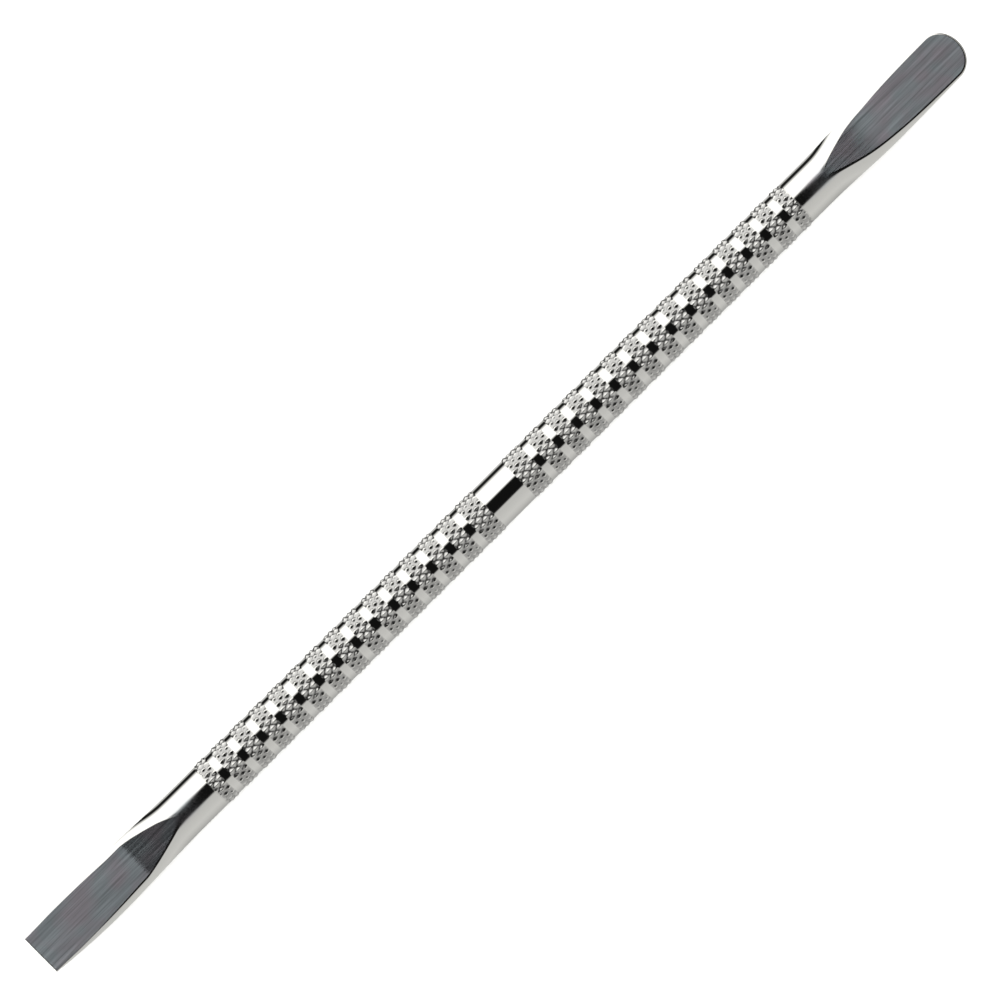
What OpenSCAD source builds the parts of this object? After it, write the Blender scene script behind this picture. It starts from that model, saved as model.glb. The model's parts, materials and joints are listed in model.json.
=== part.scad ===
// Double-ended cuticle pusher in plated steel.
// A knurled handle carries a spade end and a spoon-shaped pusher end, each on a tang pressed into its end.
// The tool lies along X with both ground faces up, the spade end towards -X.
// The origin is under the middle of the tool's length, on the surface that it lies on.

/* [Overall] */
// Length from tip to tip
overall_l = 129.5; // [105:0.5:170]
// Diameter of the plain bar, which the shanks share
rod_d = 5; // [4.1:0.1:7]

/* [Knurled grips] */
// Height of the knurl's crests above the plain bar
knurl_h = 0.125; // [0.05:0.005:0.3]
// Knurled bands in each grip
band_count = 15; // [6:1:18]
// Width of the plain ring between two bands
ring_w = 0.78; // [0.4:0.02:1.2]
// Length of the band next to the centre
inner_band_l = 2.45; // [1:0.05:4]
// Length of the band next to a working end
outer_band_l = 1.5; // [0.8:0.05:3]
// Length of the plain stretch between the grips
centre_l = 4.15; // [2:0.05:12]
// Length of the slope at each edge of a band
band_edge_l = 0.12; // [0.04:0.01:0.3]

/* [Tangs and their bores] */
// Diameter of a tang
tang_d = 3; // [2:0.1:3.6]
// Length of a tang
tang_l = 12; // [6:0.5:16]
// Diameter of a bore less that of its tang, where 0 is line to line for the press fit
tang_fit = 0; // [0:0.005:0.05]
// Free depth beyond the tang's end
bore_spare_l = 0.6; // [0.2:0.1:2]
// Angle of the drill's point
drill_angle = 118; // [90:1:140]
// Chamfer that leads a tang into its bore
tang_lead = 0.4; // [0.1:0.05:0.8]
// Depth of the flat that lets air out past a tang
vent_depth = 0.2; // [0.05:0.05:0.5]
// Grooves on a tang that key the retaining compound
key_groove_count = 2; // [1:1:4]
// Width of a keying groove
key_groove_w = 0.8; // [0.3:0.1:1.2]
// Depth of a keying groove
key_groove_depth = 0.15; // [0.05:0.05:0.4]

/* [Spade end] */
// Length from the tip to the handle
spade_l = 24.1; // [20:0.1:34]
// Round stretch next to the handle, past the forged blade
spade_shank_l = 3.3; // [2:0.1:5]
// Width across the square tip
spade_tip_w = 4.7; // [3:0.02:6]
// How far the forged blade bulges past the bar on each side
spade_flare = 0.3; // [0:0.05:0.8]
// Distance from the tip to the widest place
spade_flare_at = 8.5; // [5:0.5:12]
// Thickness of the forging at the tip, before it is ground
spade_tip_t = 1.5; // [1:0.05:2]
// Height of the ground face above the bar's centre line, at the tip
spade_face_z = 0.19; // [0:0.01:0.4]
// Slope of the ground face, in degrees
spade_face_angle = 5.3; // [3:0.1:6]
// Length of the flat ground face, up to its crease
spade_face_l = 13.3; // [8:0.1:14]
// Slope just past the crease, in degrees, from where the face eases up to the bar
spade_ease_angle = 11; // [8:0.5:14]
// Thickness of the scraping edge
spade_edge_t = 0.35; // [0.2:0.01:0.6]
// Angle of the bevel under the scraping edge
spade_bevel_angle = 10; // [6:0.5:20]

/* [Pusher end] */
// Length from the tip to the handle
pusher_l = 22.9; // [19:0.1:34]
// Round stretch next to the handle, past the forged spoon
pusher_shank_l = 2.9; // [2:0.1:5]
// Width of the spoon just behind its round end
pusher_tip_w = 5.24; // [3.5:0.02:6.5]
// How far the forged spoon bulges past the bar on each side
pusher_flare = 0.26; // [0:0.02:0.8]
// Distance from the tip to the widest place
pusher_flare_at = 11.5; // [6:0.5:13]
// Thickness of the forging at the tip, before it is ground
pusher_tip_t = 1.2; // [0.8:0.05:2]
// Length of the round end in plan
pusher_round_l = 2.3; // [1.5:0.1:4]
// Length over which the tip's thickness rounds off
pusher_nose_l = 0.5; // [0.2:0.05:1]
// Height of the ground face above the bar's centre line, at the tip
pusher_face_z = 0.2; // [0:0.01:0.4]
// Slope of the ground face at the tip, in degrees
pusher_face_angle = 1.15; // [0:0.05:3]
// Radius of the long hollow ground in the face
pusher_scoop_r = 82; // [60:1:200]
// Length of the hollow, from where the face eases up to the bar
pusher_scoop_l = 14; // [8:0.5:15]

/* [Hidden] */
$fn = 64;

rod_r = rod_d / 2;
band_r = rod_r + knurl_h;
axis_z = band_r;                                  // the bands lie on the table
handle_l = overall_l - spade_l - pusher_l;
handle_x = spade_l - overall_l / 2;               // the handle's face at the spade end
grip_l = (handle_l - centre_l) / 2;
regular_bands = band_count - 2;
band_pitch = (grip_l - outer_band_l - inner_band_l - ring_w) / regular_bands;
band_turn = 137.5;                                // each band's crests fall at other angles than the last's
bore_d = tang_d + tang_fit;
bore_l = tang_l + bore_spare_l;

around = 40;                                      // corners of a forged section
stations = 22;                                    // sections along a forging
tip_stations = 10;                                // sections in the pusher's round end
ease_steps = 12;                                  // flats where a ground face eases up to the bar
ease_over = 0.02;                                 // how far above the bar they end, to leave it cleanly
weld_l = 0.5;                                     // how far a forging runs into its round shank
weld_r = rod_r - 0.01;                            // and its radius there, a hair inside the shank
clear = 10;                                       // past the part on every side of a cut

polish = [0.80, 0.81, 0.82];
satin = [0.62, 0.64, 0.66];

// From 0 to 1 with level ends
function smooth(t) =
    let (u = max(0, min(1, t)))
    u * u * (3 - 2 * u);
// From 0 to 1, steep at first and level at the end, as a forging swells up to its bar
function swell(t) = (smooth(t) + sin(90 * t)) / 2;
// A quarter of an ellipse that rises from 0 to 1 over a length
function quarter(s, l) = s >= l ? 1 : sqrt(1 - pow(1 - s / l, 2));
// Side view of a ground face that eases from [x, z] with a slope up to the bar's top, where it ends level
function ease_up(x, z, angle, end_x) =
    let (l = end_x - x, rise = rod_r + ease_over - z)
    [for (i = [0:ease_steps])
        let (t = i / ease_steps)
        [x + l * t, z + rise * smooth(t) + l * tan(angle) * t * pow(1 - t, 2)]];

// ---- Handle -------------------------------------------------------------------------------

// [start, end] of each band along the handle: one grip's, then its mirror image
grip_bands = concat(
    [[0, outer_band_l]],
    [for (i = [0:regular_bands - 1])
        let (start = outer_band_l + ring_w + i * band_pitch)
        [start, start + band_pitch - ring_w]],
    [[grip_l - inner_band_l, grip_l]]
);
bands = concat(grip_bands, [for (band = grip_bands) [handle_l - band[1], handle_l - band[0]]]);

// A band with sloped edges, sunk a little into the bar
module knurled_band(ends) {
    sunk_r = rod_r - knurl_h;
    rotate_extrude()
        polygon([
            [sunk_r, ends[0]],
            [rod_r, ends[0]],
            [band_r, ends[0] + band_edge_l],
            [band_r, ends[1] - band_edge_l],
            [rod_r, ends[1]],
            [sunk_r, ends[1]]
        ]);
}

module tang_bore() {
    point_l = bore_d / 2 / tan(drill_angle / 2);
    translate([0, 0, -clear])
        cylinder(d = bore_d, h = clear + bore_l);
    translate([0, 0, bore_l])
        cylinder(d1 = bore_d, d2 = 0, h = point_l);
}

module handle() {
    color(polish)
    translate([handle_x, 0, axis_z])
    rotate([0, 90, 0])
    difference() {
        union() {
            cylinder(d = rod_d, h = handle_l);
            for (i = [0:len(bands) - 1])
                rotate(i * band_turn)
                    knurled_band(bands[i]);
        }
        tang_bore();
        translate([0, 0, handle_l])
            rotate([180, 0, 0])
                tang_bore();
    }
}

// ---- Parts that both working ends share -----------------------------------------------------
// A working end is drawn with its tip at the origin, the bar's centre line along X and its face up.

// A forging through [distance from the tip, half width, half height] sections, closed by a fan at each end
module forging(sections) {
    last = len(sections) - 1;
    ring_points = [for (section = sections, i = [0:around - 1])
        let (turn = 360 * i / around)
        [section[0], section[1] * cos(turn), section[2] * sin(turn)]];
    tip_point = len(ring_points);
    points = concat(ring_points, [[0, 0, 0], [sections[last][0], 0, 0]]);
    sides = [for (k = [0:last - 1], i = [0:around - 1])
        let (j = (i + 1) % around, near = k * around, far = near + around)
        each [[near + i, far + i, near + j], [near + j, far + i, far + j]]];
    tip_fan = [for (i = [0:around - 1]) [tip_point, i, (i + 1) % around]];
    root_fan = [for (i = [0:around - 1])
        [tip_point + 1, last * around + (i + 1) % around, last * around + i]];
    polyhedron(points, concat(sides, tip_fan, root_fan), convexity = 4);
}

// The round shank from a forging to the handle, and the tang beyond it
module shank_and_tang(end_l, shank_l) {
    groove_pitch = tang_l / (key_groove_count + 1);
    translate([end_l - shank_l - weld_l, 0, 0])
        rotate([0, 90, 0])
            cylinder(d = rod_d, h = shank_l + weld_l);
    difference() {
        translate([end_l - weld_l, 0, 0])
            rotate([0, 90, 0])
                cylinder(d = tang_d, h = tang_l + weld_l - tang_lead);
        for (i = [1:key_groove_count])
            translate([end_l + i * groove_pitch - key_groove_w / 2, 0, 0])
                rotate([0, 90, 0])
                    difference() {
                        cylinder(d = tang_d + clear, h = key_groove_w);
                        translate([0, 0, -clear])
                            cylinder(d = tang_d - 2 * key_groove_depth, h = key_groove_w + 2 * clear);
                    }
        vent_flat(end_l);
    }
    difference() {
        translate([end_l + tang_l - tang_lead, 0, 0])
            rotate([0, 90, 0])
                cylinder(d1 = tang_d, d2 = tang_d - 2 * tang_lead, h = tang_lead);
        vent_flat(end_l);
    }
}

// The flat along the underside of a tang
module vent_flat(end_l) {
    translate([end_l, -clear, -clear - tang_d / 2 + vent_depth])
        cube([tang_l + clear, 2 * clear, clear]);
}

// ---- Spade end ----------------------------------------------------------------------------

spade_blank_l = spade_l - spade_shank_l;
spade_flare_r = rod_r + spade_flare;

function spade_half_width(s) = s < spade_flare_at
    ? spade_tip_w / 2 + (spade_flare_r - spade_tip_w / 2) * sin(90 * s / spade_flare_at)
    : spade_flare_r + (weld_r - spade_flare_r) * smooth((s - spade_flare_at) / (spade_blank_l - spade_flare_at));
function spade_half_height(s) = spade_tip_t / 2 + (weld_r - spade_tip_t / 2) * swell(s / spade_blank_l);

spade_sections = [for (i = [0:stations]) i / stations * spade_blank_l];

// What is ground away above the face, which is flat from the tip to its crease
module spade_face_cut() {
    slope = tan(spade_face_angle);
    crease_z = spade_face_z + spade_face_l * slope;
    rotate([90, 0, 0])
        linear_extrude(height = 2 * clear, center = true)
            polygon(concat(
                [[-clear, clear], [-clear, spade_face_z - clear * slope]],
                ease_up(spade_face_l, crease_z, spade_ease_angle, spade_blank_l),
                [[spade_blank_l, clear]]
            ));
}

// The bevel under the tip that leaves the scraping edge
module spade_bevel_cut() {
    translate([0, 0, spade_face_z - spade_edge_t])
        rotate([0, spade_bevel_angle, 0])
            translate([-clear, -clear, -clear])
                cube([2 * clear, 2 * clear, clear]);
}

module spade_end() {
    color(satin)
    translate([-overall_l / 2, 0, axis_z])
    difference() {
        union() {
            forging(concat(
                [for (s = spade_sections) [s, spade_half_width(s), spade_half_height(s)]],
                [[spade_blank_l + weld_l / 2, weld_r, weld_r]]
            ));
            shank_and_tang(spade_l, spade_shank_l);
        }
        spade_face_cut();
        spade_bevel_cut();
    }
}

// ---- Pusher end ---------------------------------------------------------------------------

pusher_blank_l = pusher_l - pusher_shank_l;
pusher_flare_r = rod_r + pusher_flare;

function pusher_half_width(s) = quarter(s, pusher_round_l) * (s < pusher_flare_at
    ? pusher_tip_w / 2 + (pusher_flare_r - pusher_tip_w / 2) * smooth(s / pusher_flare_at)
    : pusher_flare_r + (weld_r - pusher_flare_r) * smooth((s - pusher_flare_at) / (pusher_blank_l - pusher_flare_at)));
function pusher_half_height(s) = quarter(s, pusher_nose_l)
    * (pusher_tip_t / 2 + (weld_r - pusher_tip_t / 2) * swell(s / pusher_blank_l));

pusher_sections = concat(
    [for (i = [1:tip_stations]) pusher_round_l * (1 - cos(90 * i / tip_stations))],
    [for (i = [1:stations]) pusher_round_l + (pusher_blank_l - pusher_round_l) * i / stations]
);

// What is ground away above the face: the long hollow, and where it eases up to the bar
module pusher_face_cut() {
    hollow_x = -pusher_scoop_r * sin(pusher_face_angle);
    hollow_z = pusher_face_z + pusher_scoop_r * cos(pusher_face_angle);
    end_angle = asin((pusher_scoop_l - hollow_x) / pusher_scoop_r);
    end_z = hollow_z - pusher_scoop_r * cos(end_angle);
    rotate([90, 0, 0]) {
        translate([hollow_x, hollow_z, -clear])
            cylinder(r = pusher_scoop_r, h = 2 * clear, $fn = 256);
        linear_extrude(height = 2 * clear, center = true)
            polygon(concat(
                [[pusher_scoop_l - 1, clear]],
                ease_up(pusher_scoop_l, end_z, end_angle, pusher_blank_l),
                [[pusher_blank_l, clear]]
            ));
    }
}

module pusher_end() {
    color(satin)
    translate([overall_l / 2, 0, axis_z])
    rotate([0, 0, 180])
    difference() {
        union() {
            forging(concat(
                [for (s = pusher_sections) [s, pusher_half_width(s), pusher_half_height(s)]],
                [[pusher_blank_l + weld_l / 2, weld_r, weld_r]]
            ));
            shank_and_tang(pusher_l, pusher_shank_l);
        }
        pusher_face_cut();
    }
}

handle();
spade_end();
pusher_end();
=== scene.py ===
import json
from math import asin, ceil, cos, floor, pi, radians, sin, sqrt, tan

import bmesh
import bpy
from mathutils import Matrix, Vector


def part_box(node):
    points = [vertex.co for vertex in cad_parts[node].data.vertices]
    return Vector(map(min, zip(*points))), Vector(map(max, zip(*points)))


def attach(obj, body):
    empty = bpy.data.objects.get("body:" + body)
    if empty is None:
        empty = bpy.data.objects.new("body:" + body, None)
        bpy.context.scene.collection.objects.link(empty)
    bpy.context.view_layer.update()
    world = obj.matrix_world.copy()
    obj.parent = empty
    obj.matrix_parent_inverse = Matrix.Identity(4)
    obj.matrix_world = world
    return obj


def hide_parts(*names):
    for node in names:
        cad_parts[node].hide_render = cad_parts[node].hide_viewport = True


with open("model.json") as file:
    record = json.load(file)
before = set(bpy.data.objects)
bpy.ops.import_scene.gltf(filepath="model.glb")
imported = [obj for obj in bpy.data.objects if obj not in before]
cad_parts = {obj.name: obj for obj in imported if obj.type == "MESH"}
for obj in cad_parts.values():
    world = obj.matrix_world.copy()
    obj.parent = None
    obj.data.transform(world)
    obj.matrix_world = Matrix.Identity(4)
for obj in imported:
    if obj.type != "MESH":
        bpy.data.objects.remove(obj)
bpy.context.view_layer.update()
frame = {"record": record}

# ---- Handle ---------------------------------------------------------------------------------------
# A 5 mm carbon steel bar. Narrow knurling wheels are pressed into it one band at a time, which leaves plain
# rings between the bands, and it is then nickel plated and buffed. A drilled blind hole in each end takes
# the tang of a working end.

MM = 0.001
mounts = {mount["name"]: mount for mount in frame["record"]["mounts"]}
handle_low, handle_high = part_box("handle")
handle_x = handle_low.x / MM
handle_l = (handle_high.x - handle_low.x) / MM
band_r = (handle_high.z - handle_low.z) / 2 / MM
axis_z = (handle_high.z + handle_low.z) / 2 / MM
rod_r = mounts["clip_seat"]["dims"]["r_mm"]
centre_l = mounts["clip_seat"]["dims"]["length_mm"]

band_count = 15                 # in each grip
ring_w = 0.78                   # plain ring between two bands
inner_band_l = 2.45             # the band next to the plain centre
outer_band_l = 1.5              # the band next to a working end
plain_end_l = 0.04              # the least plain bar at each of its ends,
band_end_l = 0.06               # the least distance from there to a band's edge,
teeth_end_l = 0.09              # and the least distance to its first teeth
rim_break = 0.02                # broken corner around each of the bar's ends

knurl_starts = 21               # teeth around the bar
knurl_pitch = 1.22              # from one row of teeth to the next that lines up with it
knurl_depth = 0.27              # from a tooth's top to the bottom of a groove
knurl_flat = 0.12               # share of a tooth's height that buffing has taken off
steps_per_tooth = 8             # stations along a tooth, and facets around it
band_turn = 0.618               # how far each band's teeth lie around from the last band's, in teeth
run_out = 0.03                  # from a band's edge to its first teeth
station_gap = 0.3               # the least gap from there to a whole station, in stations
groove_run_out = 3.0            # a groove is at full depth this many stations in from where it starts,
groove_start = 0.2              # which is this many stations outside a band's edge
tooth_at_edge = 0.3             # share of a tooth's height that is left at a band's edge,
tooth_growth = 0.5              # and how much more of it there is at each station inwards

tang_r = 1.5
bore_l = 12.6
drill_point = radians(118)
drill_point_l = tang_r / tan(drill_point / 2)
mouth = 0.1                     # chamfer around the mouth of a bore
merge_gap = 0.001               # points closer than this become one

grip_l = (handle_l - centre_l) / 2
band_pitch = (grip_l - outer_band_l - inner_band_l - ring_w) / (band_count - 2)

# [start, end, middle of its rows of teeth] of each band along one grip, then of its mirror image. The teeth
# of a grip's first and last bands lie off the middle of those bands, by shares of the gap between rows.
row_gap = knurl_pitch / 2
grip_bands = [(0, outer_band_l, outer_band_l / 2 - row_gap / 4)]
for i in range(band_count - 2):
    start = outer_band_l + ring_w + i * band_pitch
    end = start + band_pitch - ring_w
    grip_bands.append((start, end, (start + end) / 2))
grip_bands.append((grip_l - inner_band_l, grip_l, grip_l - inner_band_l / 2 - row_gap / 2))
bands = list(grip_bands)
for start, end, rows in reversed(grip_bands):
    bands.append((handle_l - end, handle_l - start, handle_l - rows))

# The turning profile, from the bottom of one bore, out over the bar and into the other bore. Each station is
# [along the bar, radius, share of a tooth's height, middle of its rows, turn of its band]. Where there are
# teeth, the radius is how deep the grooves may go: they run out on to the bar at both ends of a band.
half_bore = [
    (bore_l + drill_point_l, 0),
    (bore_l, tang_r),
    (mouth, tang_r),
    (0, tang_r + mouth),
    (0, rod_r - rim_break),
    (rim_break, rod_r),
]
profile = [(x, r, 0, 0, 0) for x, r in half_bore]
step = knurl_pitch / steps_per_tooth
for number, (start, end, rows) in enumerate(bands):
    turn = number * band_turn
    first_x = max(start + run_out, teeth_end_l)
    last_x = min(end - run_out, handle_l - teeth_end_l)
    first = ceil((first_x - rows) / step + station_gap)
    last = floor((last_x - rows) / step - station_gap)
    profile.append((max(start - run_out, plain_end_l), rod_r, 0, rows, turn))
    profile.append((max(start, band_end_l), rod_r, 0, rows, turn))
    for x in [first_x] + [rows + row * step for row in range(first, last + 1)] + [last_x]:
        to_edge = min(x - start, end - x) / step
        cut = min(1, (to_edge + groove_start) / groove_run_out)
        groove_r = rod_r + (band_r - knurl_depth - rod_r) * cut
        profile.append((x, groove_r, min(1, tooth_at_edge + tooth_growth * to_edge), rows, turn))
    profile.append((min(end, handle_l - band_end_l), rod_r, 0, rows, turn))
    profile.append((min(end + run_out, handle_l - plain_end_l), rod_r, 0, rows, turn))
profile += [(handle_l - x, r, 0, 0, 0) for x, r in reversed(half_bore)]

# Each point of the profile carries its last three values in an attribute, for the tree below.
handle_mesh = bpy.data.meshes.new("handle profile")
handle_mesh.from_pydata(
    [((handle_x + x) * MM, 0, r * MM) for x, r, toothed, rows, turn in profile],
    [(i, i + 1) for i in range(len(profile) - 1)],
    [],
)
band_place = handle_mesh.attributes.new("band", "FLOAT_VECTOR", "POINT")
for spot, (x, r, toothed, rows, turn) in zip(band_place.data, profile):
    spot.vector = (toothed, (handle_x + rows) * MM, turn)


def add(tree, kind, inputs={}, **settings):
    """Adds a node with its settings, and sets or links its inputs. An input node gives its first output."""
    node = tree.nodes.new(kind)
    for name, value in settings.items():
        setattr(node, name, value)
    for name, value in inputs.items():
        if isinstance(value, bpy.types.Node):
            value = value.outputs[0]
        if isinstance(value, bpy.types.NodeSocket):
            tree.links.new(value, node.inputs[name])
        else:
            node.inputs[name].default_value = value
    return node


def srgb(code):
    """A linear colour from an sRGB hex code."""
    parts = [int(code[i:i + 2], 16) / 255 for i in (1, 3, 5)]
    return [p / 12.92 if p <= 0.04045 else ((p + 0.055) / 1.055) ** 2.4 for p in parts] + [1]


def new_material(name):
    """An empty material, and its tree."""
    material = bpy.data.materials.new(name)
    material.use_nodes = True
    material.node_tree.nodes.clear()
    return material, material.node_tree


# Buffed bright nickel: a mirror with a faintly warm grey. The buffing mops reach the tops of the teeth and
# not the grooves, so the grooves stay a little matt; their darker grey is painted shade, which deepens down
# the teeth into the grooves. Hairlines and a slow unevenness of the buffing break up the reflections. Real
# hairlines are finer; these are drawn about 0.1 mm wide, to show.
nickel_colour = "#F1F0EC"
# Painted shade: the grooves are drawn in this darker grey, for the shade that falls in them.
groove_shade_colour = "#C4C3C1"
mirror_roughness = (0.045, 0.085)
groove_roughness = 0.28
mop_patch = 1.6                 # size of the buffing's uneven patches
hairline_count = (0.4, 9, 9)    # per millimetre along, across and up
hairline_depth = 0.0015
# The same shares fade the painted groove shade: it is full below the first and gone at the second.
polish_and_shade_reach = (0.3, 1.0)          # shares of a tooth's height: the mop begins to touch, and polishes fully

bright_nickel, tree = new_material("bright nickel plate, buffed")
place = add(tree, "ShaderNodeTexCoord").outputs["Object"]
tooth = add(tree, "ShaderNodeAttribute", attribute_name="tooth").outputs["Fac"]
reach = add(tree, "ShaderNodeMapRange", {
    0: tooth, 1: polish_and_shade_reach[0], 2: polish_and_shade_reach[1], 3: 0.0, 4: 1.0,
}, interpolation_type="SMOOTHSTEP")
mop = add(tree, "ShaderNodeTexNoise", {"Vector": place, "Scale": 1 / (mop_patch * MM), "Detail": 3.0})
# Painted shade: the colour darkens from the plate's towards the groove shade colour, down the teeth into the
# grooves.
colour = add(tree, "ShaderNodeMix", {
    "Factor": reach, 6: srgb(groove_shade_colour), 7: srgb(nickel_colour)}, data_type="RGBA")
mirror = add(tree, "ShaderNodeMapRange", {
    0: mop.outputs["Fac"], 1: 0.3, 2: 0.7, 3: mirror_roughness[0], 4: mirror_roughness[1]})
roughness = add(tree, "ShaderNodeMix", {"Factor": reach, 2: groove_roughness, 3: mirror})
hairline_place = add(tree, "ShaderNodeMapping", {
    "Vector": place, "Scale": [count / MM for count in hairline_count]})
hairlines = add(tree, "ShaderNodeTexNoise", {"Vector": hairline_place, "Scale": 1.0, "Detail": 2.0})
bump = add(tree, "ShaderNodeBump", {
    "Strength": 0.1, "Distance": hairline_depth * MM, "Height": hairlines.outputs["Fac"]})
surface = add(tree, "ShaderNodeBsdfPrincipled", {
    "Base Color": colour.outputs[2], "Roughness": roughness, "Normal": bump, "Metallic": 1.0})
add(tree, "ShaderNodeOutputMaterial", {"Surface": surface})

# The tree turns the profile round the bar, and cuts two sets of V grooves that cross to leave diamond teeth.
tree = bpy.data.node_groups.new("knurled bar", "GeometryNodeTree")
tree.interface.new_socket("Profile", in_out="INPUT", socket_type="NodeSocketGeometry")
knurl_sizes = {
    "Teeth around": ("NodeSocketInt", knurl_starts),
    "Facets around": ("NodeSocketInt", knurl_starts * steps_per_tooth),
    "Tooth pitch": ("NodeSocketFloat", knurl_pitch * MM),
    "Tooth flat": ("NodeSocketFloat", knurl_flat),
    "Tooth top radius": ("NodeSocketFloat", band_r * MM),
    "Groove radius": ("NodeSocketFloat", (band_r - knurl_depth) * MM),
    "Axis height": ("NodeSocketFloat", axis_z * MM),
}
sockets = {
    name: tree.interface.new_socket(name, in_out="INPUT", socket_type=kind)
    for name, (kind, value) in knurl_sizes.items()
}
tree.interface.new_socket("Bar", in_out="OUTPUT", socket_type="NodeSocketGeometry")
given = add(tree, "NodeGroupInput").outputs

# A grid with one row of points for each station, which reads its station's place and band from the profile
stations = add(tree, "GeometryNodeAttributeDomainSize", {0: given["Profile"]}, component="MESH")
columns = add(tree, "FunctionNodeIntegerMath", {0: given["Facets around"], 1: 1}, operation="ADD")
grid = add(tree, "GeometryNodeMeshGrid", {
    "Vertices X": stations.outputs["Point Count"], "Vertices Y": columns})
index = add(tree, "GeometryNodeInputIndex")
station = add(tree, "FunctionNodeIntegerMath", {0: index, 1: columns}, operation="DIVIDE_FLOOR")
column = add(tree, "FunctionNodeIntegerMath", {0: index, 1: columns}, operation="MODULO")
spot = add(tree, "GeometryNodeSampleIndex", {
    "Geometry": given["Profile"],
    "Value": add(tree, "GeometryNodeInputPosition"),
    "Index": station,
}, data_type="FLOAT_VECTOR")
band = add(tree, "GeometryNodeSampleIndex", {
    "Geometry": given["Profile"],
    "Value": add(tree, "GeometryNodeInputNamedAttribute", {"Name": "band"}, data_type="FLOAT_VECTOR"),
    "Index": station,
}, data_type="FLOAT_VECTOR")
spot = add(tree, "ShaderNodeSeparateXYZ", {0: spot}).outputs
band = add(tree, "ShaderNodeSeparateXYZ", {0: band}).outputs

# How far each point is from the nearest groove of either set, from 0 in a groove to 1 on a tooth's flat top
around = add(tree, "ShaderNodeMath", {0: column, 1: given["Facets around"]}, operation="DIVIDE")
teeth = add(tree, "ShaderNodeMath", {
    0: around, 1: given["Teeth around"], 2: band["Z"]}, operation="MULTIPLY_ADD")
along = add(tree, "ShaderNodeMath", {0: spot["X"], 1: band["Y"]}, operation="SUBTRACT")
along = add(tree, "ShaderNodeMath", {0: along, 1: given["Tooth pitch"]}, operation="DIVIDE")
left_groove = add(tree, "ShaderNodeMath", {0: teeth, 1: along}, operation="ADD")
left_groove = add(tree, "ShaderNodeMath", {0: left_groove, 1: 0.5}, operation="PINGPONG")
right_groove = add(tree, "ShaderNodeMath", {0: teeth, 1: along}, operation="SUBTRACT")
right_groove = add(tree, "ShaderNodeMath", {0: right_groove, 1: 0.5}, operation="PINGPONG")
tooth = add(tree, "ShaderNodeMath", {0: left_groove, 1: right_groove}, operation="MINIMUM")
flat = add(tree, "ShaderNodeMath", {0: 1.0, 1: given["Tooth flat"]}, operation="SUBTRACT")
tooth = add(tree, "ShaderNodeMath", {0: tooth, 1: 2.0}, operation="MULTIPLY")
tooth = add(tree, "ShaderNodeMath", {0: tooth, 1: flat}, operation="MINIMUM")
tooth = add(tree, "ShaderNodeMath", {0: tooth, 1: flat}, operation="DIVIDE")

# The radius there, and the point's place around the bar
tooth_r = add(tree, "ShaderNodeMix", {
    "Factor": tooth, "A": given["Groove radius"], "B": given["Tooth top radius"]})
tooth_r = add(tree, "ShaderNodeMath", {0: tooth_r, 1: spot["Z"]}, operation="MAXIMUM")
radius = add(tree, "ShaderNodeMix", {"Factor": band["X"], "A": spot["Z"], "B": tooth_r})
turn = add(tree, "ShaderNodeMath", {0: around, 1: 2 * pi}, operation="MULTIPLY")
turn_sine = add(tree, "ShaderNodeMath", {0: turn}, operation="SINE")
turn_cosine = add(tree, "ShaderNodeMath", {0: turn}, operation="COSINE")
across = add(tree, "ShaderNodeMath", {0: turn_sine, 1: radius}, operation="MULTIPLY")
up = add(tree, "ShaderNodeMath", {
    0: turn_cosine, 1: radius, 2: given["Axis height"]}, operation="MULTIPLY_ADD")
position = add(tree, "ShaderNodeCombineXYZ", {"X": spot["X"], "Y": across, "Z": up})
bar = add(tree, "GeometryNodeSetPosition", {"Geometry": grid, "Position": position})
# The tooth share, 1 on plain bar, goes to the plate: it sets the polish and the painted shade in the grooves.
tooth = add(tree, "ShaderNodeMix", {"Factor": band["X"], "A": 1.0, "B": tooth})
bar = add(tree, "GeometryNodeStoreNamedAttribute", {
    "Geometry": bar, "Name": "tooth", "Value": tooth}, data_type="FLOAT", domain="POINT")
bar = add(tree, "GeometryNodeMergeByDistance", {"Geometry": bar, "Distance": merge_gap * MM})
bar = add(tree, "GeometryNodeSetShadeSmooth", {"Geometry": bar})
bar = add(tree, "GeometryNodeRealizeInstances", {"Geometry": bar})
bar = add(tree, "GeometryNodeSetMaterial", {"Geometry": bar, "Material": bright_nickel})
add(tree, "NodeGroupOutput", {0: bar})

handle = bpy.data.objects.new("knurled_handle", handle_mesh)
bpy.context.scene.collection.objects.link(handle)
turning = handle.modifiers.new("knurled bar", "NODES")
turning.node_group = tree
for name, (kind, value) in knurl_sizes.items():
    turning[sockets[name].identifier] = value
finished = handle.evaluated_get(bpy.context.evaluated_depsgraph_get())
handle.data = bpy.data.meshes.new_from_object(finished)
handle.data.name = "knurled_handle"
handle.modifiers.clear()
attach(handle, "root")
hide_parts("handle")

# ---- Spade end ------------------------------------------------------------------------------------
# The square scraper: one steel forging with a round shank, and a tang that is pressed into the handle. It is
# plated and buffed with the handle, then its top is ground flat along its length and left with that finish. A
# bevel ground under the tip leaves the scraping edge.

tang_l = 12
tang_lead = 0.4                 # chamfer that leads the tang into its bore
vent_depth = 0.2                # flat under the tang that lets the air out
groove_w = 0.8                  # grooves around the tang that key the retaining compound
groove_depth = 0.15
groove_count = 2

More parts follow.
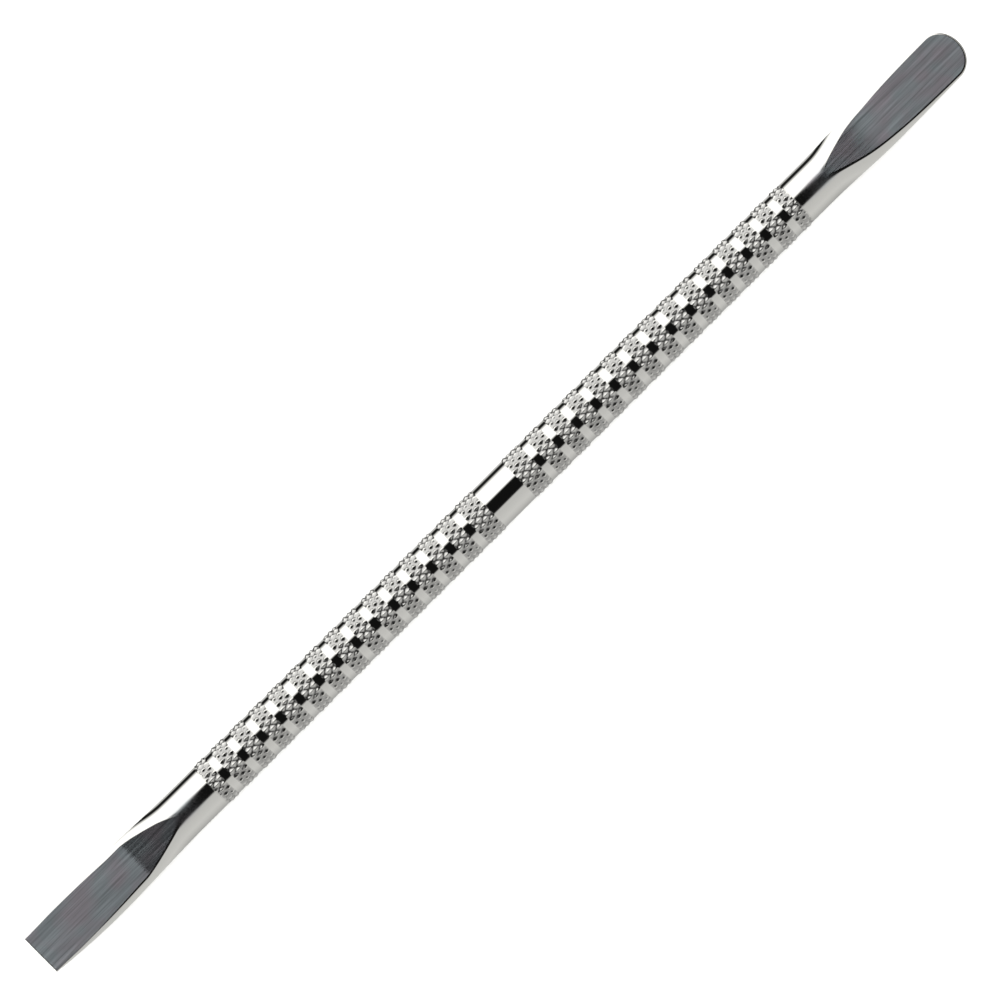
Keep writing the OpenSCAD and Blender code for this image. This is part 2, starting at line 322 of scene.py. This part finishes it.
spade_l = (handle_low.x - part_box("spade_end")[0].x) / MM
spade_shank_l = 3.3
spade_blank_l = spade_l - spade_shank_l         # the forged part, up to the round shank
spade_tip_w = 4.7
spade_flare_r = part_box("spade_end")[1].y / MM
spade_flare_at = 8.5            # where it is widest
spade_tip_t = 1.5               # of the forging, before it is ground
spade_face_z = 0.19             # above the bar's centre line, at the tip
spade_face_slope = tan(radians(5.3))
spade_face_l = 13.3
spade_ease_slope = tan(radians(11))
spade_edge_t = 0.35             # at the tip, above the bevel
spade_bevel_slope = tan(radians(10))
ease_over = 0.02                # a ground face ends this far above the bar

# The rolled edge on each side of a face: the distance from the tip over which it stays narrow, its width and
# its drop. The last value is how much fuller than an oval the neck's shoulder is.
near_roll = (4, 0.06, 0.06, 0.2)        # on the +Y side
far_roll = (5, 0.17, 0.05, 0.05)        # on the -Y side, which the mop leans on
roll_widens = 8                 # the edge reaches its full width over this length
tip_roll_l = 0.22               # the square tip's own rolled edge
tip_roll_h = 0.04
side_trim = 0.4                 # share of a flank that is trimmed off upright near the tip,
trimmed_to = 13.6               # up to here,
trim_fade = 5.5                 # and over this length less and less
spade_shoulder = 0.06           # how much fuller than an oval the spade's shoulders are,
shoulder_from = 1               # from here
shoulder_rise = 3               # over this length
neck_from = 11                  # the neck's shoulders grow fuller from here
neck_rise = 4                   # over this length,
neck_to = 17.5                  # and go back to an oval from here
neck_fall = 2.5                 # over this length

face_steps = 14                 # across half of a face
roll_steps = 7                  # over its rolled edge
upper_steps = 18                # down the upper part of a flank,
edge_steps = 6                  # its upright side
lower_steps = 12                # and its lower part
sole_steps = 10
least_face = 0.3                # the least half width of the stations across a face,
least_corner = 0.45             # of its corner,
least_roll = 0.6                # of its rolled edge,
least_heel = 1.0                # and of the sole: they hold where these close up
nearly_straight = 1e-9
blade_merge_gap = 0.0005        # points of a blade closer than this become one
crisp_edge = radians(65)        # an edge that turns by more than this stays crisp
grain_map = 10                  # one unit of the grain's own coordinates


def smooth(t):
    """From 0 to 1 with level ends."""
    t = max(0, min(1, t))
    return t * t * (3 - 2 * t)


def swell(t):
    """From 0 to 1, steep at first and level at the end, as a forging swells up to its bar."""
    return (smooth(t) + sin(radians(90 * min(1, t)))) / 2


def ease_up(s, from_s, from_z, slope, to_s):
    """Height of a ground face at s, where it eases from a slope up to the bar's top."""
    t = (s - from_s) / (to_s - from_s)
    rise = rod_r + ease_over - from_z
    return from_z + rise * smooth(t) + (to_s - from_s) * slope * t * (1 - t) ** 2


def half_section(width, height, face, sole, roll_w, roll_h, bulge=2, shoulder=0, trim=1):
    """Half of the outline across a forging, as [across, up, ground] points. It runs from the middle of the
    ground face, over the edge that buffing has rolled, and down the flank to the middle of the sole. The
    forging is an oval of half width and half height, cut level at the face above and at the sole below. Its
    shoulders are fuller than the oval's, and its sides are trimmed upright to this share of the flank."""
    def oval_z(y):
        return height * sqrt(max(0, 1 - min(1, y / width) ** bulge))

    def oval_y(z):
        return width * max(0, 1 - min(1, abs(z) / height) ** 2) ** (1 / bulge)

    cut = oval_y(face) if face < height else 0
    corner = min(cut + shoulder, (cut + width) / 2) if cut else 0
    trim_y = cut + (width - cut) * trim

    def flank_y(y):
        """Carries a point of the oval out to the fuller shoulder and the trimmed side."""
        if y <= cut:
            return y * corner / cut if cut else y
        return min(width, corner + (y - cut) * (width - corner) / (trim_y - cut))

    cut_outer = oval_y(max(0, face - roll_h)) if cut else 0
    inner, outer = max(corner - roll_w, corner / 2), flank_y(cut_outer)

    def top_z(y):
        """Height of the face, of its rolled edge or of the flank beside it."""
        if y <= inner:
            return min(face, height)
        if y >= outer:
            return oval_z(cut_outer if cut and y == outer else y)
        a, b = inner - 2 * corner + outer, corner - inner
        if abs(a) < nearly_straight:
            t = (y - inner) / (2 * b)
        else:
            t = (sqrt(b * b + a * (y - inner)) - b) / a
        return face - (face - oval_z(cut_outer)) * t * t

    inner_at, outer_at = max(inner, least_face), max(outer, least_roll)
    corner_at = min(max(corner, least_corner), outer_at)
    points = []
    for i in range(face_steps):
        y = inner_at * i / face_steps
        points.append((y, top_z(y), 1))
    for i in range(roll_steps):
        t = i / roll_steps
        y = (1 - t) ** 2 * inner_at + 2 * t * (1 - t) * corner_at + t * t * outer_at
        points.append((y, top_z(y), 1 - min(1, i)))
    heel = max(oval_y(sole) if -sole < height else 0, least_heel)
    heel_z = max(sole, -oval_z(heel))
    high, low = asin(min(1, top_z(outer_at) / height)), asin(max(-1, heel_z / height))
    edge = min(high, -low, asin(min(1, oval_z(trim_y) / height)))
    turns = [high + (edge - high) * sin(pi / 2 * i / upper_steps) for i in range(upper_steps)]
    turns += [edge * cos(pi * i / edge_steps) for i in range(edge_steps)]
    turns += [-edge + (low + edge) * (1 - cos(pi / 2 * i / lower_steps)) for i in range(lower_steps)]
    for turn in turns:
        y = width * max(0, 1 - sin(turn) ** 2) ** (1 / bulge)
        points.append((flank_y(y), height * sin(turn), 0))
    for i in range(sole_steps + 1):
        y = heel * (1 - i / sole_steps)
        points.append((flank_y(y), max(sole, -oval_z(y)), 0))
    return points


def spade_half_width(s):
    """It flares from the square tip, and narrows again to the shank."""
    if s < spade_flare_at:
        return spade_tip_w / 2 + (spade_flare_r - spade_tip_w / 2) * sin(radians(90 * s / spade_flare_at))
    narrowed = smooth((s - spade_flare_at) / (spade_blank_l - spade_flare_at))
    return spade_flare_r + (rod_r - spade_flare_r) * narrowed


def spade_face(s):
    """Height of the flat face above the bar's centre line, and of the neck."""
    flat_z = spade_face_z + min(s, spade_face_l) * spade_face_slope
    if s <= spade_face_l:
        return flat_z
    if s >= spade_blank_l:
        return rod_r + ease_over
    return ease_up(s, spade_face_l, flat_z, spade_ease_slope, spade_blank_l)


shank_gap = 0.1                 # from the last forged section to the first round one
shank_steps = 6
shank_lands = (0.1, 0.05, 0.02)         # sections this far from the shank's end keep its corner crisp
shank_break = 0.02              # broken corner around the shank's end
uncut = 2 * rod_r               # a face or sole as far out as this cuts nothing


def shank_and_tang(end_l, shank_from):
    """Half sections [distance from the tip, points] from the shank to the tang's far end."""
    shank_to = end_l - shank_lands[0]
    stops = [(shank_from + (shank_to - shank_from) * i / shank_steps, rod_r) for i in range(shank_steps + 1)]
    stops += [(end_l - land, rod_r) for land in shank_lands[1:]]
    stops += [(end_l, rod_r - shank_break), (end_l, tang_r)]
    groove_pitch = tang_l / (groove_count + 1)
    for i in range(1, groove_count + 1):
        near = end_l + i * groove_pitch - groove_w / 2
        far = near + groove_w
        stops += [(near, tang_r), (near, tang_r - groove_depth), (far, tang_r - groove_depth), (far, tang_r)]
    stops += [(end_l + tang_l - tang_lead, tang_r), (end_l + tang_l, tang_r - tang_lead)]
    round_section = half_section(rod_r, rod_r, uncut, -uncut, 0, 0)
    found = []
    for s, r in stops:
        lowest = vent_depth - tang_r if r <= tang_r else -r
        found.append((s, [
            (y * r / rod_r, max(z * r / rod_r, lowest), ground) for y, z, ground in round_section]))
    return found


def blade_mesh(name, tip_x, direction, rows, grind_at, materials):
    """A closed solid whose rows are half sections side by side, as [s, y, z, ground] points. The rows run up
    one side of the blade from the tang's end, around the tip and back down the other side."""
    sketch = bmesh.new()
    grind = sketch.verts.layers.float.new("grind")
    # Every point of a blade counts as a tooth's top: full polish, and none of the painted shade of the
    # handle's grooves.
    bright = sketch.verts.layers.float.new("tooth")
    grain = sketch.loops.layers.uv.new("grain")
    corners = []
    for row in rows:
        corners.append([])
        for s, y, z, ground in row:
            vertex = sketch.verts.new(((tip_x + direction * s) * MM, y * MM, (axis_z + z) * MM))
            vertex[grind] = grind_at(s, abs(y), z, ground)
            vertex[bright] = 1
            corners[-1].append(vertex)
    for row, following in zip(corners, corners[1:]):
        for i in range(len(row) - 1):
            sketch.faces.new((row[i], row[i + 1], following[i + 1], following[i]))
    sketch.faces.new(corners[0] + corners[-1][-2:0:-1])
    bmesh.ops.remove_doubles(sketch, verts=sketch.verts[:], dist=blade_merge_gap * MM)
    bmesh.ops.recalc_face_normals(sketch, faces=sketch.faces[:])
    for face in sketch.faces:
        face.smooth = True
        face.material_index = 1 if max(vertex[grind] for vertex in face.verts) > 0 else 0
        for loop in face.loops:
            loop[grain].uv = (loop.vert.co.y / (grain_map * MM), loop.vert.co.x / (grain_map * MM))
    mesh = bpy.data.meshes.new(name)
    sketch.to_mesh(mesh)
    sketch.free()
    for material in materials:
        mesh.materials.append(material)
    mesh.set_sharp_from_angle(angle=crisp_edge)
    return mesh


def side_rows(sections, side):
    """Rows on one side of a blade, from the tip to the tang's end."""
    return [[(s, side * y, z, ground) for y, z, ground in section] for s, section in sections]


# Surface-ground steel under thin nickel: the wheel's scratches run along the tool, so light spreads across
# it and the face looks a cool dark grey with long soft streaks. Real scratches are a few microns wide; here
# they are drawn about a tenth of a millimetre wide, to show. The neck is dressed with a finer wheel.
cool_steel = ("#B0B9C0", "#DAE3E9")     # dark and light streaks
warm_steel = ("#B8B4BC", "#DED8E2")
streak_count = (0.12, 6, 0.6)   # per millimetre along, across and up
patch_count = (0.38, 0.48, 0.2)
ground_roughness = (0.3, 0.38)
plate_roughness = 0.06
bared_at = 0.5                  # how coarse grinding has to be before none of the plate's colour is left
streak_depth = 0.003

ground_steel, tree = new_material("surface-ground steel")
place = add(tree, "ShaderNodeTexCoord").outputs["Object"]
grind = add(tree, "ShaderNodeAttribute", attribute_name="grind").outputs["Fac"]
streak_place = add(tree, "ShaderNodeMapping", {
    "Vector": place, "Scale": [count / MM for count in streak_count]})
streaks = add(tree, "ShaderNodeTexNoise", {
    "Vector": streak_place, "Scale": 1.0, "Detail": 3.0, "Roughness": 0.6})
patch_place = add(tree, "ShaderNodeMapping", {
    "Vector": place, "Scale": [count / MM for count in patch_count]})
patches = add(tree, "ShaderNodeTexNoise", {"Vector": patch_place, "Scale": 1.0, "Detail": 1.0})
tone = add(tree, "ShaderNodeMapRange", {0: streaks.outputs["Fac"], 1: 0.3, 2: 0.7, 3: 0.0, 4: 1.0})
cool = add(tree, "ShaderNodeMix", {
    "Factor": tone, 6: srgb(cool_steel[0]), 7: srgb(cool_steel[1])}, data_type="RGBA")
warm = add(tree, "ShaderNodeMix", {
    "Factor": tone, 6: srgb(warm_steel[0]), 7: srgb(warm_steel[1])}, data_type="RGBA")
warmth = add(tree, "ShaderNodeMapRange", {0: patches.outputs["Fac"], 1: 0.35, 2: 0.65, 3: 0.0, 4: 1.0})
face_colour = add(tree, "ShaderNodeMix", {
    "Factor": warmth, 6: cool.outputs[2], 7: warm.outputs[2]}, data_type="RGBA")
bared = add(tree, "ShaderNodeMapRange", {0: grind, 1: 0.0, 2: bared_at, 3: 0.0, 4: 1.0})
colour = add(tree, "ShaderNodeMix", {
    "Factor": bared, 6: srgb(nickel_colour), 7: face_colour.outputs[2]}, data_type="RGBA")
coarse = add(tree, "ShaderNodeMapRange", {
    0: streaks.outputs["Fac"], 1: 0.3, 2: 0.7, 3: ground_roughness[0], 4: ground_roughness[1]})
roughness = add(tree, "ShaderNodeMix", {"Factor": grind, 2: plate_roughness, 3: coarse})
depth = add(tree, "ShaderNodeMath", {0: streaks.outputs["Fac"], 1: grind}, operation="MULTIPLY")
bump = add(tree, "ShaderNodeBump", {"Strength": 0.08, "Distance": streak_depth * MM, "Height": depth})
across_grain = add(tree, "ShaderNodeTangent", direction_type="UV_MAP", uv_map="grain")
surface = add(tree, "ShaderNodeBsdfPrincipled", {
    "Base Color": colour.outputs[2], "Roughness": roughness, "Normal": bump, "Tangent": across_grain,
    "Metallic": 1.0, "Anisotropic": 0.9})
add(tree, "ShaderNodeOutputMaterial", {"Surface": surface})


def trim_at(s):
    """Share of a flank that is left after its side is trimmed upright."""
    return 1 - side_trim * (1 - smooth((s - trimmed_to) / trim_fade))


def oval_again(s):
    """From 1 to 0 where a shoulder goes back to an oval before the shank."""
    return 1 - smooth((s - neck_to) / neck_fall)


tip_stations = [0, 0.03, 0.07, 0.12, 0.16, 0.2, 0.26, 0.4, 0.6]
spade_steps = 90


def spade_sections(roll_l, roll_w, roll_h, neck_shoulder):
    """Half sections of one side of the spade, from its tip to the tang's far end."""
    sections = []
    body_from = tip_stations[-1]
    stations = tip_stations + [
        body_from + (spade_blank_l - body_from) * i / spade_steps for i in range(1, spade_steps + 1)]
    for s in stations:
        height = spade_tip_t / 2 + (rod_r - spade_tip_t / 2) * swell(s / spade_blank_l)
        face = spade_face(s) - tip_roll_h * max(0, 1 - s / tip_roll_l) ** 2
        sole = spade_face_z - spade_edge_t - s * spade_bevel_slope
        fuller = spade_shoulder * smooth((s - shoulder_from) / shoulder_rise)
        fuller += neck_shoulder * smooth((s - neck_from) / neck_rise)
        roll = near_roll[1] + (roll_w - near_roll[1]) * smooth((s - roll_l) / roll_widens)
        sections.append((s, half_section(
            spade_half_width(s), height, face, sole, roll, roll_h,
            shoulder=fuller * oval_again(s), trim=trim_at(s))))
    return sections + shank_and_tang(spade_l, spade_blank_l + shank_gap)


# The grinding is from 0, plain plate, to 1, the coarse wheel. A finer finish carries on over the top of the
# shank, in a strip, and fades before the handle.
strip_grind = 0.4
strip_r = 1.1                   # half the strip's width,
strip_soft = 0.8                # of which this much at each side is faded
strip_from = 3.5                # it starts this far before the shank,
strip_rise = 2.5                # grows over this length
strip_fall = 3.2                # and fades over this length of the shank
neck_fade_l = 3                 # the neck's own finish fades over this length,
neck_fade_from = 2              # from this far before the shank
crease = (0.1, 0.7)             # how far before the flat's end the finer wheel starts, and blends over
spade_neck_grind = 0.57
bare_edge = (0.06, 0.08)        # how far from its tip the spade is still plated, and blends to ground steel


def on_shank(s, across, up, shank_from):
    """The finer finish on the top of the shank."""
    top = smooth((strip_r - across) / strip_soft) if up > 0 else 0
    risen = smooth((s - shank_from + strip_from) / strip_rise)
    return strip_grind * top * risen * (1 - smooth((s - shank_from) / strip_fall))


def spade_grind(s, across, up, ground):
    """How coarsely the spade is ground: the flat most, then the finer neck, which fades on the shank."""
    neck = 1 - (1 - spade_neck_grind) * smooth((s - spade_face_l + crease[0]) / crease[1])
    neck *= smooth((s - bare_edge[0]) / bare_edge[1])
    neck *= 1 - smooth((s - spade_blank_l + neck_fade_from) / neck_fade_l)
    return max(ground * neck, on_shank(s, across, up, spade_blank_l))


spade_rows = list(reversed(side_rows(spade_sections(*far_roll), -1)))
spade_rows += side_rows(spade_sections(*near_roll), 1)
spade_tip_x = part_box("spade_end")[0].x / MM
blade_materials = [bright_nickel, ground_steel]
spade_mesh = blade_mesh("spade_blade", spade_tip_x, 1, spade_rows, spade_grind, blade_materials)
spade = bpy.data.objects.new("spade_blade", spade_mesh)
bpy.context.scene.collection.objects.link(spade)
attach(spade, "root")
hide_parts("spade_end")

# ---- Pusher end -----------------------------------------------------------------------------------
# The round spoon that pushes cuticles back. It is forged, plated, buffed and pressed in as the spade end is,
# and its top is ground to one long shallow hollow.

pusher_l = (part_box("pusher_end")[1].x - handle_high.x) / MM
pusher_shank_l = 2.9
pusher_blank_l = pusher_l - pusher_shank_l      # the forged part, up to the round shank
pusher_tip_w = 5.24
pusher_flare_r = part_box("pusher_end")[1].y / MM
pusher_flare_at = 11.5          # where it is widest
pusher_tip_t = 1.2              # of the forging, before it is ground
pusher_round_l = 2.3            # length of the round end
pusher_face_z = 0.2             # above the bar's centre line, at the tip
pusher_face_angle = radians(1.15)
pusher_scoop_r = 82             # radius of the hollow
pusher_scoop_l = 14             # from the tip to the hollow's far end

pusher_steps = 80
fan_steps = 36
fan_bulge = 4                   # the end's section is this much squarer than an oval
fan_roll_w = 0.08               # and its rolled edge this much wider
fan_roll_h = 0.14               # and deeper
rim_depth = 0.2                 # the hollow shapes the section down to here,
rim_blend = 0.3                 # fully from this far above it
pusher_neck_grind = 0.75
scoop_fade = (2, 3)             # how far before the hollow's end the finer wheel starts, and blends over

hollow_s = -pusher_scoop_r * sin(pusher_face_angle)
hollow_z = pusher_face_z + pusher_scoop_r * cos(pusher_face_angle)


def quarter(s, length):
    """A quarter of an ellipse that rises from 0 to 1 over a length."""
    return 1 if s >= length else sqrt(max(0, 1 - (1 - s / length) ** 2))


def pusher_half_width(s):
    """It swells gently behind the round end, and narrows again to the shank."""
    if s < pusher_flare_at:
        grown = smooth(s / pusher_flare_at)
        full = pusher_tip_w / 2 + (pusher_flare_r - pusher_tip_w / 2) * grown
    else:
        grown = smooth((s - pusher_flare_at) / (pusher_blank_l - pusher_flare_at))
        full = pusher_flare_r + (rod_r - pusher_flare_r) * grown
    return quarter(s, pusher_round_l) * full


def pusher_face(s):
    """Height of the hollow above the bar's centre line, and of the neck."""
    if s >= pusher_blank_l:
        return rod_r + ease_over
    if s <= pusher_scoop_l:
        return hollow_z - sqrt(pusher_scoop_r ** 2 - (s - hollow_s) ** 2)
    end_angle = asin((pusher_scoop_l - hollow_s) / pusher_scoop_r)
    end_z = hollow_z - pusher_scoop_r * cos(end_angle)
    return ease_up(s, pusher_scoop_l, end_z, tan(end_angle), pusher_blank_l)


def pusher_half_height(s):
    """It thickens from the round end to the bar."""
    return pusher_tip_t / 2 + (rod_r - pusher_tip_t / 2) * swell(s / pusher_blank_l)


def pusher_sections(roll_w, roll_h, neck_shoulder):
    """Half sections of one side of the spoon, from behind its round end to the tang's far end."""
    sections = []
    for i in range(pusher_steps + 1):
        s = pusher_round_l + (pusher_blank_l - pusher_round_l) * i / pusher_steps
        fuller = neck_shoulder * smooth((s - neck_from) / neck_rise) * oval_again(s)
        sections.append((s, half_section(
            pusher_half_width(s), pusher_half_height(s), pusher_face(s), -uncut, roll_w, roll_h,
            shoulder=fuller, trim=trim_at(s))))
    return sections + shank_and_tang(pusher_l, pusher_blank_l + shank_gap)


# In the round end the half sections fan out around one upright line.
fan = []
end_r = pusher_half_width(pusher_round_l)
for i in range(1, fan_steps):
    turn = pi * i / fan_steps - pi / 2
    reach = 1 / sqrt((cos(turn) / pusher_round_l) ** 2 + (sin(turn) / end_r) ** 2)
    end_on = cos(turn) ** 2
    near_share = smooth(i / fan_steps)
    roll_w = far_roll[1] + (near_roll[1] - far_roll[1]) * near_share + fan_roll_w * end_on
    roll_h = far_roll[2] + (near_roll[2] - far_roll[2]) * near_share + fan_roll_h * end_on
    height = pusher_half_height(pusher_round_l * (1 - cos(turn)))
    rim_z = pusher_face(pusher_round_l - reach * cos(turn))
    section = half_section(
        reach, height, rim_z, -uncut, roll_w, roll_h, 2 + fan_bulge * end_on, trim=1 - side_trim)
    row = []
    for y, z, ground in section:
        s = pusher_round_l - y * cos(turn)
        lift = (pusher_face(s) - rim_z) * smooth((z + rim_depth) / rim_blend)
        row.append((s, y * sin(turn), z + lift, ground))
    fan.append(row)


def pusher_grind(s, across, up, ground):
    """How coarsely the spoon is ground: the hollow most, then the finer neck, which fades on the shank."""
    neck = 1 - (1 - pusher_neck_grind) * smooth((s - pusher_scoop_l + scoop_fade[0]) / scoop_fade[1])
    neck *= 1 - smooth((s - pusher_blank_l + neck_fade_from) / neck_fade_l)
    return max(ground * neck, on_shank(s, across, up, pusher_blank_l))


pusher_rows = list(reversed(side_rows(pusher_sections(*far_roll[1:]), -1))) + fan
pusher_rows += side_rows(pusher_sections(*near_roll[1:]), 1)
pusher_tip_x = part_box("pusher_end")[1].x / MM
pusher_mesh = blade_mesh("pusher_blade", pusher_tip_x, -1, pusher_rows, pusher_grind, blade_materials)
pusher = bpy.data.objects.new("pusher_blade", pusher_mesh)
bpy.context.scene.collection.objects.link(pusher)
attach(pusher, "root")
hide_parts("pusher_end")

# ---- Table, light and camera -----------------------------------------------------------------------
# A white table in a light tent. The lens looks down through a long slot in the tent's top, which is the dark
# stripe along polished metal. One wall is lit, and the other is in half light.

table_half = 2.0                # metres
table_mesh = bpy.data.meshes.new("table")
table_mesh.from_pydata(
    [(-table_half, -table_half, 0), (table_half, -table_half, 0),
     (table_half, table_half, 0), (-table_half, table_half, 0)],
    [],
    [(0, 1, 2, 3)],
)
table = bpy.data.objects.new("table", table_mesh)
bpy.context.scene.collection.objects.link(table)

# Matt white laminate: plain and soft, with a fine moulded grain that spreads what little shine it has.
grain_size = 0.8
grain_depth = 0.01
matt_white, tree = new_material("matt white laminate")
place = add(tree, "ShaderNodeTexCoord").outputs["Object"]
grain = add(tree, "ShaderNodeTexNoise", {"Vector": place, "Scale": 1 / (grain_size * MM), "Detail": 2.0})
bump = add(tree, "ShaderNodeBump", {
    "Strength": 0.1, "Distance": grain_depth * MM, "Height": grain.outputs["Fac"]})
surface = add(tree, "ShaderNodeBsdfPrincipled", {
    "Base Color": srgb("#F2F2F0"), "Roughness": 0.8, "Specular IOR Level": 0.2, "Normal": bump})
add(tree, "ShaderNodeOutputMaterial", {"Surface": surface})
table_mesh.materials.append(matt_white)
# Reflections don't see the table: below the horizon they see the tent's world in its place.
table.visible_glossy = False

# The tent lights the tool and is seen in its reflections. The lens itself sees plain white beyond the table.
world = bpy.data.worlds.new("light tent")
bpy.context.scene.world = world
world.use_nodes = True
tree = world.node_tree
tree.nodes.clear()
ray = add(tree, "ShaderNodeTexCoord").outputs["Generated"]
way = add(tree, "ShaderNodeSeparateXYZ", {0: ray}).outputs
turn = add(tree, "ShaderNodeMath", {0: way["Y"], 1: way["Z"]}, operation="ARCTAN2")
turn = add(tree, "ShaderNodeMapRange", {0: turn, 1: -pi, 2: pi, 3: 0.0, 4: 1.0})
# [degrees about the tool, brightness], from straight below, up the -Y side, over the top at 0 and down again.
# Below the horizon it stands in for the table, which reflections don't see: the grey on the -Y side is
# painted shade of the table beside the tool, and on the +Y side a dark band runs from 114 to 135 degrees.
tent = [
    (-180, 0.35), (-150, 0.42), (-130, 0.50), (-110, 0.58), (-92, 0.63), (-60, 0.58), (-37, 0.56),
    (-30.5, 0.006), (21, 0.006),
    (29, 1.3), (94, 1.3), (104, 0.7), (114, 0.01), (135, 0.01), (145, 0.6), (180, 0.45),
]
tent_blue = 0.985               # the cloth is a trace warmer than white
end_wall = (0.64, 0.80)         # how far along the tool a ray leans where an end wall begins, and is whole
end_low = (-0.15, 0.02)         # [how far up, brightness] at the foot of an end wall
end_high = (0.1, 0.45)          # and over the rest of it
walls = add(tree, "ShaderNodeValToRGB", {0: turn})
ramp = walls.color_ramp
while len(ramp.elements) < len(tent):
    ramp.elements.new(1.0)
for stop, (angle, light) in zip(ramp.elements, tent):
    stop.position = (angle + 180) / 360
    stop.color = (light, light, light * tent_blue, 1)
side = add(tree, "ShaderNodeMath", {0: way["X"]}, operation="ABSOLUTE")
at_end = add(tree, "ShaderNodeMapRange", {
    0: side, 1: end_wall[0], 2: end_wall[1], 3: 0.0, 4: 1.0}, interpolation_type="SMOOTHSTEP")
end_light = add(tree, "ShaderNodeMapRange", {
    0: way["Z"], 1: end_low[0], 2: end_high[0], 3: end_low[1], 4: end_high[1]})
seen = add(tree, "ShaderNodeMix", {"Factor": at_end, 6: walls.outputs[0], 7: end_light}, data_type="RGBA")
lit = add(tree, "ShaderNodeBackground", {"Color": seen.outputs[2], "Strength": 1.0})
plain = add(tree, "ShaderNodeBackground", {"Color": (1, 1, 1, 1), "Strength": 1.0})
to_lens = add(tree, "ShaderNodeLightPath").outputs["Is Camera Ray"]
both = add(tree, "ShaderNodeMixShader", {0: to_lens, 1: lit, 2: plain})
add(tree, "ShaderNodeOutputWorld", {"Surface": both})

# A broad soft light from straight above, which keeps the table white
lamp_data = bpy.data.lights.new("overhead", "SUN")
lamp_data.energy = 4.8
lamp_data.angle = radians(70)
lamp = bpy.data.objects.new("overhead", lamp_data)
lamp.visible_glossy = False
bpy.context.scene.collection.objects.link(lamp)

# A long lens, straight above the tool, which lies turned in its view
camera_height = 0.5556          # metres above the bar's centre line
camera_roll = radians(-44.87)
aim_right = 0.045               # where the lens points, from the middle of the tool: to its right,
aim_above = -0.155              # and towards the top of its view
camera_data = bpy.data.cameras.new("camera")
camera_data.lens = 200
camera_data.sensor_width = 36
camera_data.clip_start = 0.01
camera_data.clip_end = 20
camera = bpy.data.objects.new("camera", camera_data)
bpy.context.scene.collection.objects.link(camera)
right = (cos(camera_roll), sin(camera_roll))
above = (-sin(camera_roll), cos(camera_roll))
aim = [aim_right * right[i] + aim_above * above[i] for i in (0, 1)]
camera.location = (aim[0] * MM, aim[1] * MM, axis_z * MM + camera_height)
camera.rotation_euler = (0, 0, camera_roll)
bpy.context.scene.camera = camera
bpy.context.scene.view_settings.view_transform = "Standard"
